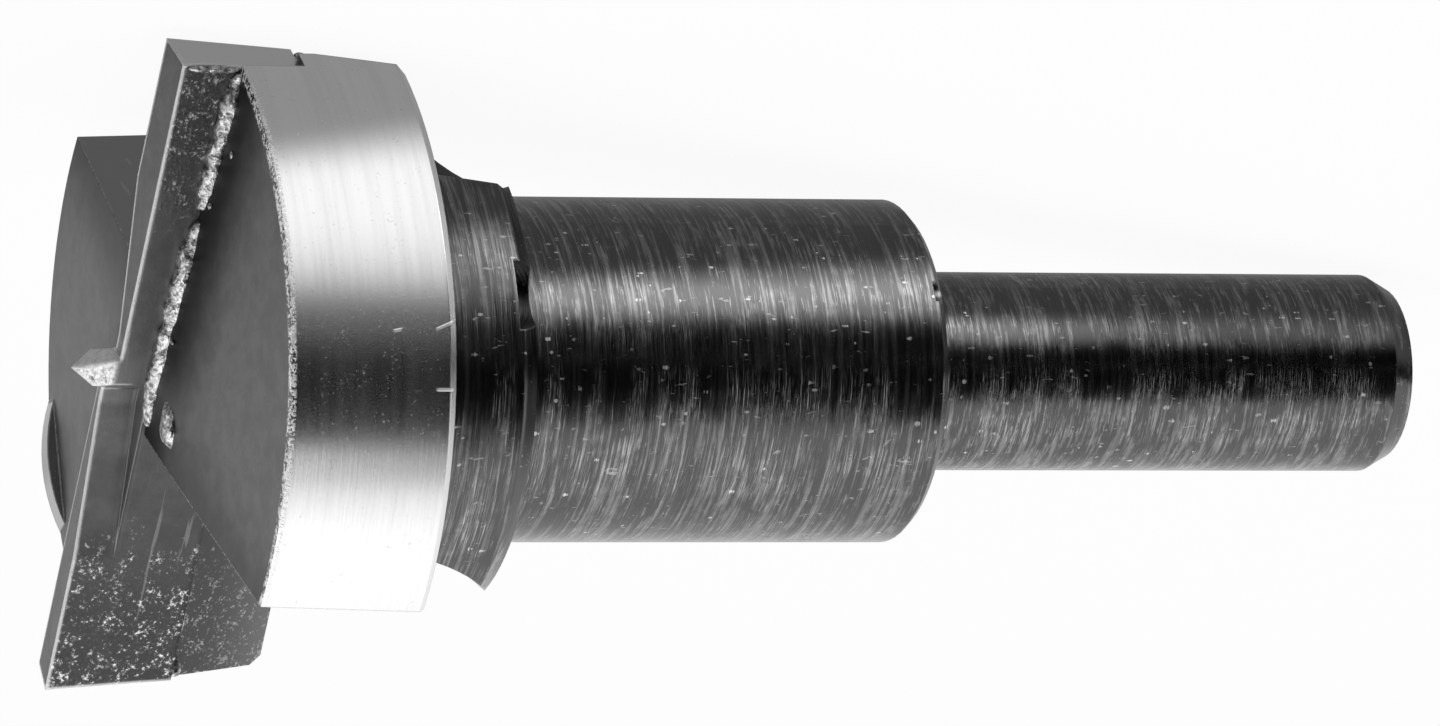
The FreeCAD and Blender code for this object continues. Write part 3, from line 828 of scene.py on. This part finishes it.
class BuildStudio(Operator):
    """Set the camera, lay the floor and the runner, and hang the flag and the lamps"""

    bl_idname = "boring_bit.build_studio"
    bl_label = "Build Studio"

    def execute(self, context):
        sizes = context.scene.boring_bit_studio
        camera = self.set_camera(context)
        toward = camera.location.copy()
        toward.z = 0.0
        toward.normalize()
        self.lay_floor(sizes)
        self.hang_flag(sizes, toward)
        self.lay_runner(sizes, toward)
        for name, spot, width, power in LAMPS:
            self.hang_lamp(context, name, Vector(spot), width, power)
        self.light_world(context)
        context.scene.view_settings.view_transform = "Standard"
        return {"FINISHED"}

    def set_camera(self, context):
        """The photograph's own viewpoint."""
        roll_cos, roll_sin = math.cos(CAMERA_ROLL_ABOUT_AXIS), math.sin(CAMERA_ROLL_ABOUT_AXIS)
        near = BLADE * roll_cos - LEADING * roll_sin
        up = BLADE * roll_sin + LEADING * roll_cos
        swing_cos, swing_sin = math.cos(CAMERA_SWING), math.sin(CAMERA_SWING)
        across = AXIS * swing_cos + near * swing_sin
        back = near * swing_cos - AXIS * swing_sin
        station = CAMERA_AIM_STATION - CAMERA_AIM_ALONG * swing_cos - CAMERA_DISTANCE * swing_sin
        forward = CAMERA_DISTANCE * swing_cos - CAMERA_AIM_ALONG * swing_sin
        eye = ORIGIN + (AXIS * station + near * forward - up * CAMERA_AIM_UP) * MM
        right = across * math.cos(CAMERA_LEAN) - up * math.sin(CAMERA_LEAN)
        top = across * math.sin(CAMERA_LEAN) + up * math.cos(CAMERA_LEAN)
        data = bpy.data.cameras.new("camera")
        data.sensor_fit = "HORIZONTAL"
        data.sensor_width = SENSOR_WIDTH
        data.lens = PIXELS_PER_MM * CAMERA_DISTANCE * SENSOR_WIDTH / IMAGE_WIDTH
        data.clip_start = 0.01
        camera = bpy.data.objects.new("camera", data)
        turned = Matrix((right, top, back)).transposed().to_4x4()
        camera.matrix_world = Matrix.Translation(eye) @ turned
        context.scene.collection.objects.link(camera)
        context.scene.camera = camera
        return camera

    def lay_floor(self, sizes):
        """A white floor that also looks white, with a little of its shading kept for the shadow."""
        floor = Surface(bpy.data.materials.new("white_floor"))
        paper = floor.node("ShaderNodeBsdfDiffuse", None, {"Color": grey(PAPER_TONE)})
        seen, mirrored = floor.ray("Camera"), floor.ray("Glossy")
        white = seen * FLOOR_SEEN_WHITE + mirrored * FLOOR_MIRRORED_WHITE
        glow = floor.glow(grey(1.0))
        lit = floor.node("ShaderNodeMixShader", None, {0: white, 1: paper, 2: glow})
        mesh = bmesh.new()
        bmesh.ops.create_grid(mesh, x_segments=1, y_segments=1, size=sizes.floor_size / 2)
        object_of("floor", mesh, floor.close(lit))

    def hang_flag(self, sizes, toward):
        """A card on the camera's side: black up to an edge that rises for the shank, then white."""
        flag = Surface(bpy.data.materials.new("black_flag"))
        x, y, z = flag.scene_position()
        station = x - y * MIRROR_DRIFT
        top = station.ramp(*FLAG_STATIONS) * FLAG_RISE + FLAG_TOP
        foot = z.ramp(*FOOT_HEIGHTS) * station.ramp(*FOOT_STATIONS)
        above = (z - top).ramp(-FLAG_FADE, FLAG_FADE)
        level = flag.coated(grey(CARD_BLACK), ((foot, grey(CARD_DARK)), (above, grey(1.0))))
        middle = toward * sizes.flag_distance + UP * (sizes.flag_height / 2 + FLAG_LIFT)
        sides = (UP.cross(toward) * sizes.flag_width, UP * sizes.flag_height)
        self.place_card("flag", middle, sides, flag.close(flag.glow(level)))

    def lay_runner(self, sizes, toward):
        """A shaded runner under the bit: dim beneath it, bright before it, black at the flag.

        It leans across the floor, because the rim mirrors it further out than the shank does.
        """
        runner = Surface(bpy.data.materials.new("shaded_runner"))
        x, y, _ = runner.scene_position()
        station = x - y * MIRROR_DRIFT
        from_rim = station - RIM_MIRRORED
        at_rim = station.ramp(*RIM_STATIONS)
        at_neck = station.ramp(*NECK_START) * station.ramp(*NECK_END)
        width, rim_width = DARK_WIDTH
        past_dim = (y + from_rim * (DIM_LEAN - from_rim * DIM_BEND)).ramp(*RUNNER_DIM)
        past_bright = (y + from_rim * DARK_LEAN - RUNNER_DARK) / (at_rim * rim_width + width)
        dusk = at_rim * y.ramp(*DUSK_DISTANCES)
        bright = runner.blend(at_neck, grey(CARD_BRIGHT), grey(CARD_BRIGHTEST))
        dark = runner.coated(grey(CARD_BLACK), ((at_rim, grey(CARD_DARK)), (dusk, grey(CARD_DUSK))))
        fades = ((past_dim, bright), (past_bright.ramp(0.0, 1.0), dark))
        level = runner.coated(grey(CARD_SHADE), fades)
        reach = sizes.flag_distance + RUNNER_BEHIND
        middle = toward * (reach / 2 - RUNNER_BEHIND) + UP * RUNNER_LIFT
        sides = (UP.cross(toward) * sizes.flag_width, toward * reach)
        self.place_card("runner", middle, sides, runner.close(runner.glow(level)))

    def place_card(self, name, middle, sides, material):
        """A flat card with two given sides, which only the metal's reflections see."""
        mesh = bmesh.new()
        bmesh.ops.create_grid(mesh, x_segments=1, y_segments=1, size=0.5)
        shape = Matrix((*sides, sides[0].cross(sides[1]))).transposed().to_4x4()
        matrix = Matrix.Translation(middle) @ shape
        bmesh.ops.transform(mesh, matrix=matrix, verts=mesh.verts)
        card = object_of(name, mesh, material)
        for kind in ("camera", "diffuse", "shadow", "transmission"):
            setattr(card, "visible_" + kind, False)

    def hang_lamp(self, context, name, spot, width, power):
        """A soft square lamp that looks at the bit."""
        data = bpy.data.lights.new(name, "AREA")
        data.shape = "SQUARE"
        data.size = width
        data.energy = power
        lamp = bpy.data.objects.new(name, data)
        lamp.location = spot
        lamp.rotation_euler = spot.to_track_quat("Z", "Y").to_euler()
        context.scene.collection.objects.link(lamp)

    def light_world(self, context):
        """White where it is seen or mirrored, and a plain grey light everywhere else."""
        sky = Surface(context.scene.world or bpy.data.worlds.new("studio"))
        context.scene.world = sky.owner
        white = (sky.ray("Camera") + sky.ray("Glossy") + sky.ray("Transmission")).limited()
        colour = sky.blend(white, grey(ROOM_LIGHT), grey(1.0))
        light = sky.node("ShaderNodeBackground", None, {"Color": colour, "Strength": 1.0})
        sky.close(light, "ShaderNodeOutputWorld")


class BitPanel(Panel):
    """Lists the settings and steps that dress the boring bit"""

    bl_idname = "VIEW3D_PT_boring_bit"
    bl_label = "Hinge Boring Bit"
    bl_space_type = "VIEW_3D"
    bl_region_type = "UI"
    bl_category = "Boring Bit"

    def draw(self, context):
        for group in SETTINGS:
            box = self.layout.box()
            settings = getattr(context.scene, group)
            for name in settings.__annotations__:
                box.prop(settings, name)
        for step in STEPS:
            self.layout.operator(step.bl_idname)


STEPS = (FinishBody, FinishCutter, AddBraze, BuildStudio)
SETTINGS = {
    "boring_bit_look": BitLook,
    "boring_bit_braze": BrazeSizes,
    "boring_bit_studio": StudioSizes,
}


def register():
    for group, kind in SETTINGS.items():
        bpy.utils.register_class(kind)
        setattr(bpy.types.Scene, group, PointerProperty(type=kind))
    for step in STEPS:
        bpy.utils.register_class(step)
    bpy.utils.register_class(BitPanel)


def unregister():
    bpy.utils.unregister_class(BitPanel)
    for step in reversed(STEPS):
        bpy.utils.unregister_class(step)
    for group, kind in SETTINGS.items():
        delattr(bpy.types.Scene, group)
        bpy.utils.unregister_class(kind)


def main():
    register()
    bpy.ops.boring_bit.finish_body()
    bpy.ops.boring_bit.finish_cutter()
    bpy.ops.boring_bit.add_braze()
    bpy.ops.boring_bit.build_studio()


if __name__ == "__main__":
    main()
